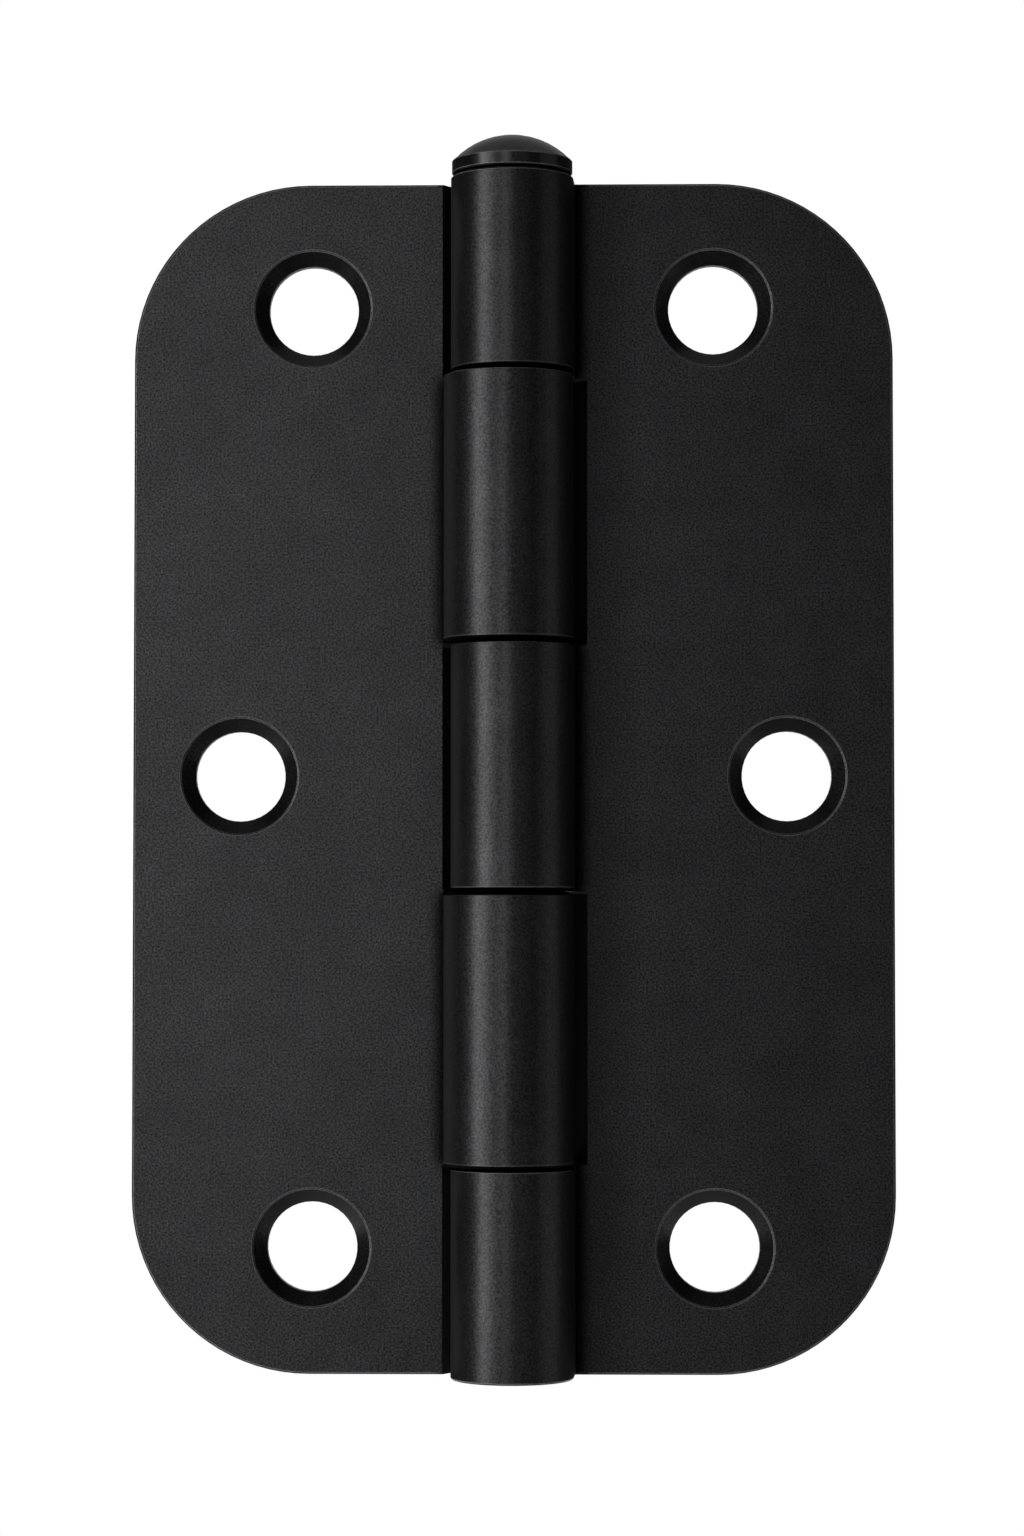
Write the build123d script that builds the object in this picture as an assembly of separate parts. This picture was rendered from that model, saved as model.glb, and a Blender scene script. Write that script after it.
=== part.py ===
from build123d import *
import os
from math import cos, radians, sin, sqrt

# A loose-pin butt hinge, opened flat: two curled sheet leaves on one pin.
# Units are millimetres. The pin stands along +Z, with the origin on its axis at the barrel's lower end.
# The countersunk side faces -Y, the jamb leaf lies towards +X and the door leaf towards -X.

# ---- Driving dimensions ------------------------------------------------------------------------
HEIGHT = 101.6              # leaf and barrel length, a nominal 4 in hinge
LEAF_REACH = 32.48          # pin axis to a leaf's outer edge
CORNER_RADIUS = 15.1        # the leaves' outer corners, about 5/8 in
EDGE_BREAK = 0.15           # bevel along the sheet's cut edges

PIN_RADIUS = 3.0
BARREL_RADIUS = 5.2
BORE_RADIUS = PIN_RADIUS + 0.06     # reamed after curling, to a running fit
# The curl is bent to the pin's own size, so a leaf's front is level with the inside of it.
LEAF_FRONT = PIN_RADIUS
LEAF_BACK = BARREL_RADIUS

# The four cuts between the five knuckles, from the bottom: middle height, and width across the
# rolled-over edges at the barrel's outside. Further in, the knuckles' flat ends all but touch.
CUTS = ((17.75, 0.40), (40.93, 0.62), (61.98, 0.46), (84.87, 0.42))
ROLL_OVER = 0.5             # how far in from the outside the ends are rolled over
END_PLAY = 0.04             # gap between two knuckles' flat ends

# From this far before its front, a curl may be bent less tightly, to its free end beside its leaf.
EASING = 35.0               # degrees
JAMB_END_RADIUS = BARREL_RADIUS
DOOR_END_RADIUS = 5.60
JAMB_RUN_OUT = 2.5          # degrees that the straight run-out leans away from the barrel
DOOR_RUN_OUT = 0.0
SEAM = 0.10                 # gap between the curl's end and the leaf

# A notch's face is hollow, so that the other leaf's knuckle turns in it.
JAMB_NOTCH_RADIUS = 7.0
DOOR_NOTCH_RADIUS = 6.72
NOTCH_CORNER = 0.3

# Screw holes, countersunk from the front
OUTER_HOLE_REACH = 17.15    # the top and bottom holes, from the pin axis
MIDDLE_HOLE_REACH = 23.38
OUTER_HOLE_SPACING = 80.26
HOLE_RADIUS = 3.84
SINK_RADIUS = 5.02
SINK_ANGLE = 82.0           # full angle
SINK_BREAK = 0.08           # bevel round the countersink's rim

# Pin
HEAD_RADIUS = 5.12
HEAD_LIFT = 0.22            # gap between the head's rim and the top knuckle
HEAD_BAND = 1.20            # height of the head's upright side
HEAD_DOME = 2.13            # rise of the dome above it
DOME_INSET = 0.15           # ledge round the dome's foot
HEAD_BREAK = 0.12
SEAT_RADIUS = 4.3           # ring under the head that rests on the top knuckle
TIP_INSET = 1.2             # the tip stops short of the barrel's lower end
TIP_LENGTH = 2.4
TIP_RADIUS = 1.7

# Knuckle heights from the bottom: 0, 2 and 4 belong to the jamb leaf, 1 and 3 to the door leaf.
KNUCKLE_LOWS = [0.0] + [height + END_PLAY / 2 for height, _ in CUTS]
KNUCKLE_HIGHS = [height - END_PLAY / 2 for height, _ in CUTS] + [HEIGHT]


EASED_FROM = -90 - EASING   # angle from +X, for a leaf lying towards +X


def on_circle(radius, degrees_from_x, centre=Vector(0, 0)):
    """A point on a circle, which is about the pin axis unless it has another centre."""
    angle = radians(degrees_from_x)
    return centre + Vector(radius * cos(angle), radius * sin(angle))


def end_centre(end_radius):
    """Centre of the curl's less tightly bent end, which meets the rest of the curl smoothly."""
    return on_circle(BARREL_RADIUS - end_radius, EASED_FROM)


def curled_section(end_radius, run_out):
    """A leaf seen along the pin: the flat sheet, its curl, and the curl's straight end by the leaf."""
    lean = Vector(sin(radians(run_out)), cos(radians(run_out)))
    centre = end_centre(end_radius)
    end_inside = end_radius - (LEAF_BACK - LEAF_FRONT)

    def run_to_leaf(start):
        return start + lean * ((LEAF_FRONT - SEAM - start.Y) / lean.Y)

    outer_eased = on_circle(BARREL_RADIUS, EASED_FROM)
    inner_eased = on_circle(LEAF_FRONT, EASED_FROM)
    outer_start = on_circle(end_radius, -run_out, centre)
    inner_start = on_circle(end_inside, -run_out, centre)
    half_way = (EASED_FROM - run_out) / 2
    with BuildSketch() as section:
        with BuildLine():
            Polyline((0, LEAF_FRONT), (LEAF_REACH, LEAF_FRONT), (LEAF_REACH, LEAF_BACK), (0, LEAF_BACK))
            ThreePointArc((0, LEAF_BACK), on_circle(BARREL_RADIUS, 180), outer_eased)
            ThreePointArc(outer_eased, on_circle(end_radius, half_way, centre), outer_start)
            Polyline(outer_start, run_to_leaf(outer_start), run_to_leaf(inner_start), inner_start)
            ThreePointArc(inner_start, on_circle(end_inside, half_way, centre), inner_eased)
            ThreePointArc(inner_eased, on_circle(LEAF_FRONT, 180), (0, LEAF_FRONT))
        make_face()
    return section.sketch


def in_plane_y(edge, height):
    """Whether an edge lies flat at this Y."""
    box = edge.bounding_box()
    return abs(box.min.Y - height) < 1e-4 and abs(box.max.Y - height) < 1e-4


def leaf_blank(end_radius, run_out):
    """The curled and reamed sheet, its corners rounded and its cut edges bevelled, before it is notched."""
    with BuildPart() as blank:
        add(curled_section(end_radius, run_out))
        extrude(amount=HEIGHT)
        outer_corners = blank.edges().filter_by(Axis.Y).group_by(Axis.X)[-1]
        fillet(outer_corners, CORNER_RADIUS)
        faces_y = (LEAF_FRONT, LEAF_BACK)
        outline = blank.edges().filter_by(lambda e: any(in_plane_y(e, y) for y in faces_y))
        chamfer(outline.filter_by(lambda e: e.bounding_box().max.X > EDGE_BREAK), EDGE_BREAK)
        Cylinder(BORE_RADIUS, 3 * HEIGHT, mode=Mode.SUBTRACT)
    return blank.part


def notch_cutter(knuckle, radius):
    """Clears a leaf round one of the other leaf's knuckles, from its own knuckle below to the one above."""
    low = -NOTCH_CORNER if knuckle == 0 else KNUCKLE_HIGHS[knuckle - 1]
    high = HEIGHT + NOTCH_CORNER if knuckle == 4 else KNUCKLE_LOWS[knuckle + 1]
    with BuildPart(Location((0, 0, low))) as cutter:
        Cylinder(radius, high - low, align=(Align.CENTER, Align.CENTER, Align.MIN))
        fillet(cutter.edges().filter_by(GeomType.CIRCLE), NOTCH_CORNER)
    return cutter.part


def roll_over_cutter(height, width, radius, centre, start, sweep):
    """Takes the outer edges off both knuckle ends at a cut, round one arc of the curl."""
    outward = on_circle(1, start)
    reach = radius + EDGE_BREAK
    slope = (width - END_PLAY) / 2 / ROLL_OVER
    inner = radius - ROLL_OVER
    half_mouth = END_PLAY / 2 + slope * (reach - inner)
    corners = ((inner, END_PLAY / 2), (reach, half_mouth), (reach, -half_mouth), (inner, -END_PLAY / 2))
    upright = Plane(centre + Vector(0, 0, height), x_dir=outward, z_dir=outward.cross(Vector(0, 0, 1)))
    with BuildPart() as cutter:
        with BuildSketch(upright):
            with BuildLine():
                Polyline(corners, close=True)
            make_face()
        revolve(axis=Axis(centre, (0, 0, 1)), revolution_arc=sweep)
    return cutter.part


def leaf(end_radius, run_out, notch_radius, own_knuckles):
    """One leaf, lying towards +X."""
    with BuildPart() as body:
        add(leaf_blank(end_radius, run_out))
        for knuckle in range(5):
            if knuckle not in own_knuckles:
                add(notch_cutter(knuckle, notch_radius), mode=Mode.SUBTRACT)
        arcs = (
            (BARREL_RADIUS, Vector(0, 0), 90, 180 - EASING),
            (end_radius, end_centre(end_radius), EASED_FROM, 90 + EASING - run_out),
        )
        for height, width in CUTS:
            for arc in arcs:
                add(roll_over_cutter(height, width, *arc), mode=Mode.SUBTRACT)

        middle = HEIGHT / 2
        hole_places = [
            (OUTER_HOLE_REACH, LEAF_FRONT, middle + OUTER_HOLE_SPACING / 2),
            (MIDDLE_HOLE_REACH, LEAF_FRONT, middle),
            (OUTER_HOLE_REACH, LEAF_FRONT, middle - OUTER_HOLE_SPACING / 2),
        ]
        for place in hole_places:
            with Locations(Plane(origin=place, z_dir=(0, -1, 0))):
                CounterSinkHole(HOLE_RADIUS, SINK_RADIUS, LEAF_BACK, SINK_ANGLE)
        rims = body.edges().filter_by(GeomType.CIRCLE)
        rims = rims.filter_by(lambda e: abs(e.radius - SINK_RADIUS) < 1e-4)
        chamfer(rims, SINK_BREAK)
    return body.part


# ---- The three pieces ----------------------------------------------------------------------------
def jamb_leaf():
    """Right-hand leaf, with the top, middle and bottom knuckles."""
    return leaf(JAMB_END_RADIUS, JAMB_RUN_OUT, JAMB_NOTCH_RADIUS, (0, 2, 4))


def door_leaf():
    """Left-hand leaf, with the two knuckles between them."""
    return mirror(leaf(DOOR_END_RADIUS, DOOR_RUN_OUT, DOOR_NOTCH_RADIUS, (1, 3)), about=Plane.YZ)


def hinge_pin():
    """Loose pin: bullet tip, plain shank, seat ring and low domed head."""
    rim = HEIGHT + HEAD_LIFT
    shoulder = rim + HEAD_BAND
    apex = shoulder + HEAD_DOME
    foot = HEAD_RADIUS - DOME_INSET
    dome_radius = (foot**2 + HEAD_DOME**2) / (2 * HEAD_DOME)
    half_dome = (foot / 2, apex - dome_radius + sqrt(dome_radius**2 - foot**2 / 4))
    tip_start = (TIP_RADIUS, TIP_INSET)
    shank_start = (PIN_RADIUS, TIP_INSET + TIP_LENGTH)
    tip_width = PIN_RADIUS - TIP_RADIUS
    tip_round = (tip_width**2 + TIP_LENGTH**2) / (2 * tip_width)
    with BuildPart() as pin:
        with BuildSketch(Plane.XZ):
            with BuildLine():
                Polyline((0, apex), (0, TIP_INSET), tip_start)
                RadiusArc(tip_start, shank_start, -tip_round)
                Polyline(
                    shank_start,
                    (PIN_RADIUS, HEIGHT),
                    (SEAT_RADIUS, HEIGHT),
                    (SEAT_RADIUS, rim),
                    (HEAD_RADIUS, rim),
                    (HEAD_RADIUS, shoulder),
                    (foot, shoulder),
                )
                ThreePointArc((foot, shoulder), half_dome, (0, apex))
            make_face()
        revolve(axis=Axis.Z)
        head_edges = pin.edges().filter_by(GeomType.CIRCLE)
        head_edges = head_edges.filter_by(lambda e: abs(e.radius - HEAD_RADIUS) < 1e-4)
        chamfer(head_edges, HEAD_BREAK)
    return pin.part


if __name__ == "__main__":
    os.makedirs("parts", exist_ok=True)
    for make in (jamb_leaf, door_leaf, hinge_pin):
        export_step(make(), f"parts/{make.__name__}.step")
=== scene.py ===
"""The looks of the door hinge: its black coat, the studio round it and the photograph's camera.

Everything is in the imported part's own frame, in metres: the pin stands along +Z with the origin at the
barrel's lower end, the countersunk side faces -Y and the jamb leaf lies towards +X. Sizes named in
millimetres are turned into metres where they are used.
"""

import math

import bpy
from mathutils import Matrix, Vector

MM = 0.001                  # metres
WHITE = (1, 1, 1, 1)

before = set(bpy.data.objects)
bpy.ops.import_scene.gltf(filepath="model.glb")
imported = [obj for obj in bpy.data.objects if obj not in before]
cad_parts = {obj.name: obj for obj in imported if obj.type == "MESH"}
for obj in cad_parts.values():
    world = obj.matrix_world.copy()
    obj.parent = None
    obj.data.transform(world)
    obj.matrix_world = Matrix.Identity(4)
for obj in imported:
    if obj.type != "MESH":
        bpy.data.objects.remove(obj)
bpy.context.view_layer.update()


# ---- Camera --------------------------------------------------------------------------------------
CAMERA_PLACE = (7.4 * MM, -326.8 * MM, 38.4 * MM)
CAMERA_YAW = 1.30           # degrees to the left of +Y
CAMERA_PITCH = 2.27         # degrees up
CAMERA_LENS = 90.7          # mm
SENSOR_HEIGHT = 36          # mm

camera_data = bpy.data.cameras.new("camera")
camera_data.sensor_fit = "VERTICAL"
camera_data.sensor_height = SENSOR_HEIGHT
camera_data.lens = CAMERA_LENS
camera_data.clip_start = 10 * MM
camera = bpy.data.objects.new("camera", camera_data)
camera.location = CAMERA_PLACE
camera.rotation_euler = (math.radians(90 + CAMERA_PITCH), 0, math.radians(CAMERA_YAW))
bpy.context.collection.objects.link(camera)
bpy.context.scene.camera = camera


# ---- Node helpers --------------------------------------------------------------------------------
class Nodes:
    """A node tree that is written as nested calls."""

    def __init__(self, tree):
        self.tree = tree

    def add(self, kind, settings=None, **inputs):
        """Adds a node. Its settings are attributes; its inputs are sockets, values or outputs."""
        node = self.tree.nodes.new(kind)
        for name, value in (settings or {}).items():
            setattr(node, name, value)
        for name, value in inputs.items():
            self.plug(node.inputs[name.replace("_", " ")], value)
        return node

    def plug(self, socket, value):
        if isinstance(value, bpy.types.NodeSocket):
            self.tree.links.new(value, socket)
        else:
            socket.default_value = value

    def math(self, operation, a, b=0.0):
        """One Math node's result."""
        node = self.add("ShaderNodeMath", {"operation": operation})
        self.plug(node.inputs[0], a)
        self.plug(node.inputs[1], b)
        return node.outputs["Value"]

    def product(self, first, *others):
        """All of them multiplied together."""
        for other in others:
            first = self.math("MULTIPLY", first, other)
        return first

    def spread(self, value, low, high, value_low=0.0, value_high=1.0):
        """Maps value_low..value_high to low..high, and stops there."""
        node = self.add("ShaderNodeMapRange", Value=value, From_Min=value_low, From_Max=value_high,
                        To_Min=low, To_Max=high)
        return node.outputs["Result"]

    def inverse(self, value):
        """1 less the value: 1 for 0, and 0 for 1."""
        return self.math("SUBTRACT", 1.0, value)

    def distance(self, value, middle):
        """How far a coordinate in metres is from a middle in millimetres, either way."""
        return self.math("ABSOLUTE", self.math("SUBTRACT", value, middle * MM))

    def xyz(self, vector):
        """A vector's three parts."""
        return self.add("ShaderNodeSeparateXYZ", Vector=vector).outputs

    def length(self, vector):
        node = self.add("ShaderNodeVectorMath", {"operation": "LENGTH"}, Vector=vector)
        return node.outputs["Value"]

    def scaled(self, vector, factor):
        """A vector or a colour times a number."""
        node = self.add("ShaderNodeVectorMath", {"operation": "SCALE"}, Vector=vector, Scale=factor)
        return node.outputs["Vector"]

    def seen(self):
        """The two masks of rays that the studio shows white to: the camera's, and reflected ones."""
        path = self.add("ShaderNodeLightPath").outputs
        return path["Is Camera Ray"], self.math("MAXIMUM", path["Is Glossy Ray"], path["Is Transmission Ray"])

    def mixed(self, factor, first, second):
        """Mixes two colours."""
        node = self.add("ShaderNodeMix", {"data_type": "RGBA"}, Factor=factor, A=first, B=second)
        return node.outputs["Result"]

    def noise(self, position, per_mm, detail, roughness, seed):
        """Smooth noise with this many features to a millimetre, and finer detail on top."""
        node = self.add(
            "ShaderNodeTexNoise", {"noise_dimensions": "4D"}, Vector=position,
            W=seed, Scale=per_mm / MM, Detail=detail, Roughness=roughness,
        )
        return node.outputs["Fac"]


# ---- Coat ----------------------------------------------------------------------------------------
COAT_COLOR = (0.0045, 0.0045, 0.0046)
VARNISH = 0.5               # Specular IOR Level of a plain varnish

GRAIN_PER_MM = 6.0          # the coat's fine texture
GRAIN_DETAIL = {"detail": 1.0, "roughness": 0.5}
GRAIN_LOW, GRAIN_HIGH = 0.32, 0.68      # the noise's level in its pits and on its tops
GRAIN_HEIGHT = 2.0e-3       # mm
GRAIN_ROUGHNESS = 0.03
GRAIN_SHADE = 0.25          # how far the colour's lightness varies over it
CURL_GRAIN = 0.66           # the grain is fainter where the sheet was stretched round the pin

BLOTCH_PER_MM = 0.2         # the coat's unevenness, from 5 mm down towards the grain
BLOTCH_DETAIL = {"detail": 5.0, "roughness": 0.75}
BLOTCH_SEED = 7             # added to the coat's own seed
BLOTCH_GLOSS = 0.45
BLOTCH_ROUGHNESS = 0.02
BLOTCH_SHADE = 0.2

COOL_PER_MM = 0.35          # patches that look a little blue
COOL_DETAIL = {"detail": 3.0, "roughness": 0.6}
COOL_SEED = 11              # added to the coat's own seed
COOL_LOW, COOL_HIGH = 0.52, 0.70        # the noise's level round them and inside them
COOL_HUE = (0.98, 0.985, 1.13, 1)

EDGE_ROUND = 0.10           # mm: how far each edge looks rounded, and worn with a painted highlight
EDGE_SAMPLES = 4
EDGE_START, EDGE_FULL = 0.995, 0.955    # where the wear and painted highlight start and are full: cosine of the rounding's turn
EDGE_WEAR_AND_HIGHLIGHT = 0.8
WORN_AND_HIGHLIGHT_COLOR = (0.30, 0.30, 0.31, 1)

CORNER_REACH = 1.6          # mm: corners, gaps and slots get painted shade, and are duller and rougher, this far out
CORNER_SAMPLES = 6
CORNER_SHUT, CORNER_OPEN = 0.62, 0.93   # from this share of open sky up to this one
CORNER_ROUGHNESS = 0.30

BARREL_SHADOW_FROM, BARREL_SHADOW_TO = 5.2, 11.0    # mm: painted shadow of the barrel on the jamb leaf, dimming its reflection close in beside the barrel
BARREL_SHADOW_GLOSS = 0.36
SHEET_FROM = 2.5            # mm: the flat sheet lies behind this, and the curl in front of it

# mm: painted shade dims the sheet's edges and the countersinks, between its front and back
CUT_MIDDLE, CUT_HALF = 4.1, 1.0
CUT_FROM = 7.5              # mm from the pin axis
CUT_SHADED_GLOSS = 0.5             # of the edges, under the painted shade
# A countersink gets painted shade by which way it faces: blackest at its top, and dimmer at its foot than at
# its sides.
CONE_FORWARD = -0.3         # its surface faces forward by more than this: Y of the normal
CONE_TOP_SHADED_GLOSS, CONE_TOP_TURN = 0.08, (-0.66, -0.30)    # Z of the normal from its top to its sides
CONE_FOOT_SHADED_GLOSS, CONE_FOOT_TURN = 0.40, (0.30, 0.75)    # Z of the normal from its sides to its foot

# mm: middle height and width of the painted shade between knuckles, black lines which take in their rounded
# lips
SHADED_GAP_BANDS = ((17.84, 0.47), (40.91, 0.67), (62.00, 0.58), (84.90, 0.52))
LINE_SOFTNESS = 0.03        # mm
LIP_WIDTH = 0.08            # mm: the painted highlight line above each
LIP_HIGHLIGHT = 0.12
# mm: the notches' faces, which get painted shade, across from the pin axis, out from it, and from front to
# back
NOTCH_SIDE, NOTCH_REACH = 5.0, 7.1
NOTCH_FRONT, NOTCH_BACK = 3.02, 5.1
NOTCH_SHADE = 0.15


def gloss_with_painted_shade(n, x, y, curl):
    """How strong the coat's reflection is at each place: dimmed by a painted shadow beside the barrel and by
    painted shade on cut faces and countersinks.
    """
    off_leaf = n.math("MAXIMUM", n.math("LESS_THAN", x, 0.0), curl)
    barrel_shadow = n.math("MAXIMUM", n.spread(x, BARREL_SHADOW_GLOSS, 1.0, BARREL_SHADOW_FROM * MM, BARREL_SHADOW_TO * MM), off_leaf)
    cut = n.product(n.math("LESS_THAN", n.distance(y, CUT_MIDDLE), CUT_HALF * MM),
                    n.math("GREATER_THAN", n.distance(x, 0.0), CUT_FROM * MM))
    normal = n.xyz(n.add("ShaderNodeTexCoord").outputs["Normal"])
    cone = n.math("LESS_THAN", normal["Y"], CONE_FORWARD)
    cone_shaded_gloss = n.product(n.spread(normal["Z"], CONE_TOP_SHADED_GLOSS, 1.0, *CONE_TOP_TURN),
                           n.spread(normal["Z"], 1.0, CONE_FOOT_SHADED_GLOSS, *CONE_FOOT_TURN))
    return n.product(barrel_shadow, n.spread(cut, 1.0, n.spread(cone, CUT_SHADED_GLOSS, cone_shaded_gloss)))


def outside_band(n, z, middle, width):
    """0 inside a band of heights, and 1 outside it."""
    near, far = width / 2 - LINE_SOFTNESS, width / 2 + LINE_SOFTNESS
    return n.spread(n.distance(z, middle), 0.0, 1.0, near * MM, far * MM)


def notches_in_painted_shade(n, x, y, painted_shade_factor, edge):
    """Paints shade on the notches' faces and leaves their edges unworn."""
    radius = n.length(n.add("ShaderNodeCombineXYZ", X=x, Y=y).outputs["Vector"])
    beside = n.product(n.math("LESS_THAN", radius, NOTCH_REACH * MM),
                       n.math("GREATER_THAN", n.distance(x, 0.0), NOTCH_SIDE * MM))
    faces = n.product(beside, n.math("GREATER_THAN", y, NOTCH_FRONT * MM),
                      n.math("LESS_THAN", y, NOTCH_BACK * MM))
    return n.product(painted_shade_factor, n.spread(faces, 1.0, NOTCH_SHADE)), n.product(edge, n.inverse(beside))


def cuts_in_painted_shade(n, z, curl, painted_shade_factor, edge, shaded_gap_bands):
    """Paints shade in the cuts between knuckles, each with a faint painted highlight along its upper lip."""
    for middle, width in shaded_gap_bands:
        clear = n.math("MAXIMUM", n.inverse(curl), outside_band(n, z, middle, width))
        painted_shade_factor = n.product(painted_shade_factor, clear)
        lip_middle = middle + (width + LIP_WIDTH) / 2 + LINE_SOFTNESS
        lip = n.inverse(outside_band(n, z, lip_middle, LIP_WIDTH))
        edge = n.math("MAXIMUM", edge, n.product(lip, curl, LIP_HIGHLIGHT))
    return painted_shade_factor, edge


def coat(name, seed, roughness, gloss, grain_gloss, shaded_gap_bands=()):
    """Fine-grained satin black coat, worn through along the edges, the lighter edges partly a painted
    highlight. Painted shade darkens its corners, gaps, notches and countersinks, and a painted shadow of the
    barrel dims the jamb leaf beside it.

    gloss is the mean strength of its reflection, out of that of a plain varnish, and grain_gloss is
    how far the grain varies it.
    """
    material = bpy.data.materials.new(name)
    material.use_nodes = True
    n = Nodes(material.node_tree)
    shader = material.node_tree.nodes["Principled BSDF"]
    position = n.add("ShaderNodeTexCoord").outputs["Object"]
    x, y, z = n.xyz(position)
    curl = n.math("LESS_THAN", y, SHEET_FROM * MM)

    grain = n.noise(position, GRAIN_PER_MM, seed=seed, **GRAIN_DETAIL)
    grain = n.spread(grain, 0.0, 1.0, GRAIN_LOW, GRAIN_HIGH)
    blotch = n.noise(position, BLOTCH_PER_MM, seed=seed + BLOTCH_SEED, **BLOTCH_DETAIL)
    cool = n.noise(position, COOL_PER_MM, seed=seed + COOL_SEED, **COOL_DETAIL)
    hue = n.mixed(n.spread(cool, 0.0, 1.0, COOL_LOW, COOL_HIGH), WHITE, COOL_HUE)

    rounded = n.add("ShaderNodeBevel", {"samples": EDGE_SAMPLES}, Radius=EDGE_ROUND * MM)
    rounded = rounded.outputs["Normal"]
    bump = n.add("ShaderNodeBump", Distance=GRAIN_HEIGHT * MM, Height=grain, Normal=rounded)
    n.plug(shader.inputs["Normal"], bump.outputs["Normal"])

    turn = n.add("ShaderNodeVectorMath", {"operation": "DOT_PRODUCT"}, Vector=rounded)
    n.plug(turn.inputs[1], n.add("ShaderNodeNewGeometry").outputs["Normal"])
    edge = n.spread(turn.outputs["Value"], 0.0, 1.0, EDGE_START, EDGE_FULL)
    # Painted shade: colour and reflection are darkened where ambient occlusion finds little open sky.
    sky = n.add("ShaderNodeAmbientOcclusion", {"samples": CORNER_SAMPLES}, Distance=CORNER_REACH * MM)
    painted_shade_factor = n.spread(sky.outputs["AO"], 0.0, 1.0, CORNER_SHUT, CORNER_OPEN)
    painted_shade_factor, edge = notches_in_painted_shade(n, x, y, painted_shade_factor, edge)
    painted_shade_factor, edge = cuts_in_painted_shade(n, z, curl, painted_shade_factor, edge, shaded_gap_bands)

    rough = n.math("ADD", n.spread(grain, -GRAIN_ROUGHNESS, GRAIN_ROUGHNESS),
                   n.spread(blotch, roughness - BLOTCH_ROUGHNESS, roughness + BLOTCH_ROUGHNESS))
    rough = n.math("ADD", rough, n.spread(painted_shade_factor, CORNER_ROUGHNESS, 0.0))
    n.plug(shader.inputs["Roughness"], rough)

    # The colour's lightness varies with the grain and blotches, and painted shade darkens it in corners,
    # gaps, notches and cuts.
    shade = n.product(n.spread(grain, 1 - GRAIN_SHADE, 1 + GRAIN_SHADE),
                      n.spread(blotch, 1 - BLOTCH_SHADE, 1 + BLOTCH_SHADE), painted_shade_factor)
    # Worn edges are lighter; this lighter colour also stands in for the edges' highlights, as a painted
    # highlight.
    worn_and_highlight = n.product(edge, painted_shade_factor, EDGE_WEAR_AND_HIGHLIGHT)
    n.plug(shader.inputs["Base Color"], n.mixed(worn_and_highlight, n.scaled(COAT_COLOR, shade), WORN_AND_HIGHLIGHT_COLOR))

    # The mean is a plain value, which the export keeps. Only what varies over the surface is linked.
    shader.inputs["Specular IOR Level"].default_value = VARNISH * gloss
    # The reflection's strength varies with the grain and blotches, and carries the painted shade of corners,
    # gaps, notches and countersinks and the painted shadow beside the barrel.
    grain_reach = n.product(n.spread(grain, -grain_gloss, grain_gloss), n.spread(curl, 1.0, CURL_GRAIN))
    strength = n.product(n.math("ADD", grain_reach, 1.0),
                         n.spread(blotch, 1 - BLOTCH_GLOSS, 1 + BLOTCH_GLOSS),
                         painted_shade_factor, gloss_with_painted_shade(n, x, y, curl))
    n.plug(shader.inputs["Specular Tint"], n.scaled(hue, strength))
    return material


leaf_coat = coat("leaf_coat", seed=1.0, roughness=0.34, gloss=0.62, grain_gloss=0.66,
                 shaded_gap_bands=SHADED_GAP_BANDS)
pin_coat = coat("pin_coat", seed=20.0, roughness=0.25, gloss=0.65, grain_gloss=0.25)
for node, material in (("jamb_leaf", leaf_coat), ("door_leaf", leaf_coat), ("hinge_pin", pin_coat)):
    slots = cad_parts[node].data.materials
    slots.clear()
    slots.append(material)


# ---- Studio --------------------------------------------------------------------------------------
AIM = Vector((0, 0, 50.8 * MM))         # the hinge's middle, which every lamp faces
# name: azimuth from the front towards +X and elevation in degrees, distance in metres, width and
# height in degrees as the hinge sees them, and radiance
LAMPS = {
    "left_softbox": (-57, 2, 0.42, 11, 46, 7.0),
    "left_softbox_middle": (-45, 2, 0.42, 13, 46, 4.0),
    "left_softbox_inner": (-33, 2, 0.42, 11, 46, 1.5),
    "front_softbox": (-11.5, 6, 0.42, 15, 40, 2.75),
    "front_fill": (20, 6, 0.42, 24, 44, 0.25),
    "right_fill": (75, -8, 1.0, 40, 46, 0.5),
    "low_softbox": (-20, -75, 0.145, 70, 30, 0.2),
    "top_softbox": (180, 80, 0.8, 60, 40, 0.35),
    "back_softbox": (180, 42, 0.6, 40, 34, 0.3),
}


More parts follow.
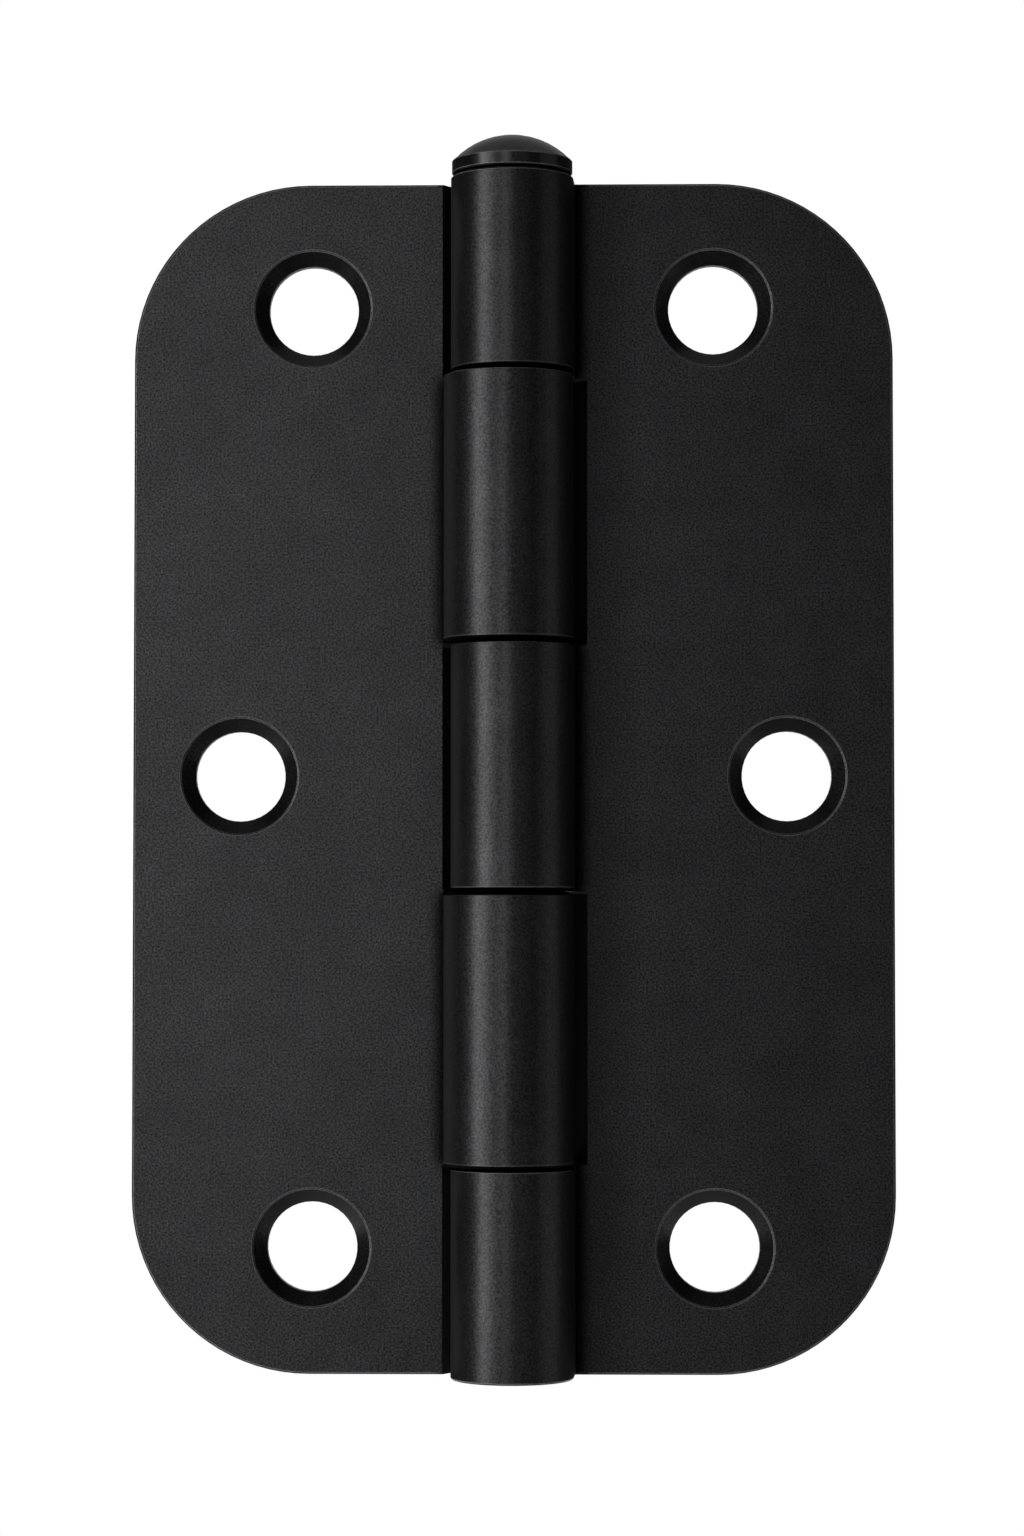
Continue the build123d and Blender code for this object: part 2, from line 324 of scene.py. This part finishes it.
def lamp(name, azimuth, elevation, distance, width, height, radiance):
    """A soft box that faces the hinge. The camera doesn't see it."""
    data = bpy.data.lights.new(name, "AREA")
    data.shape = "RECTANGLE"
    data.size = 2 * distance * math.tan(math.radians(width / 2))
    data.size_y = 2 * distance * math.tan(math.radians(height / 2))
    data.energy = radiance * math.pi * data.size * data.size_y
    a, e = math.radians(azimuth), math.radians(elevation)
    outward = Vector((math.sin(a) * math.cos(e), -math.cos(a) * math.cos(e), math.sin(e)))
    body = bpy.data.objects.new(name, data)
    body.location = AIM + outward * distance
    body.rotation_euler = outward.to_track_quat("Z", "Y").to_euler()
    body.visible_camera = False
    bpy.context.collection.objects.link(body)


for name, settings in LAMPS.items():
    lamp(name, *settings)

ROOM = 0.03                 # light from all round
BACKDROP = 0.97             # the white backdrop behind the hinge: directions with a larger Y
world = bpy.data.worlds.new("studio")
bpy.context.scene.world = world
world.use_nodes = True
n = Nodes(world.node_tree)
background = world.node_tree.nodes["Background"]
to_camera, reflected = n.seen()
direction = n.xyz(n.add("ShaderNodeTexCoord").outputs["Generated"])
reflected = n.product(reflected, n.math("GREATER_THAN", direction["Y"], BACKDROP))
n.plug(background.inputs["Strength"], n.spread(n.math("MAXIMUM", to_camera, reflected), ROOM, 1.0))
background.inputs["Color"].default_value = WHITE

FLOOR_HEIGHT = -160 * MM
FLOOR_RADIUS = 0.5          # m
FLOOR_SIDES = 96
FLOOR_PALE, FLOOR_WHITE = 0.15, 0.40    # m from its middle: it turns white between these
FLOOR_GLOW = 0.62           # brightness of its own at the middle, beside the lamps' light
FLOOR_COLOR = (0.8, 0.8, 0.8, 1)
FLOOR_ROUGHNESS = 0.9
bpy.ops.mesh.primitive_circle_add(
    vertices=FLOOR_SIDES, radius=FLOOR_RADIUS, fill_type="NGON", location=(0, 0, FLOOR_HEIGHT))
floor = bpy.context.object
floor.name = "floor"
floor_material = bpy.data.materials.new("floor")
floor_material.use_nodes = True
n = Nodes(floor_material.node_tree)
floor_shader = floor_material.node_tree.nodes["Principled BSDF"]
outward = n.length(n.add("ShaderNodeTexCoord").outputs["Object"])
glow = n.product(n.math("MAXIMUM", *n.seen()), n.spread(outward, FLOOR_GLOW, 1.0, FLOOR_PALE, FLOOR_WHITE))
floor_shader.inputs["Base Color"].default_value = FLOOR_COLOR
floor_shader.inputs["Roughness"].default_value = FLOOR_ROUGHNESS
floor_shader.inputs["Emission Color"].default_value = WHITE
n.plug(floor_shader.inputs["Emission Strength"], glow)
floor.data.materials.append(floor_material)

bpy.context.scene.view_settings.view_transform = "Standard"
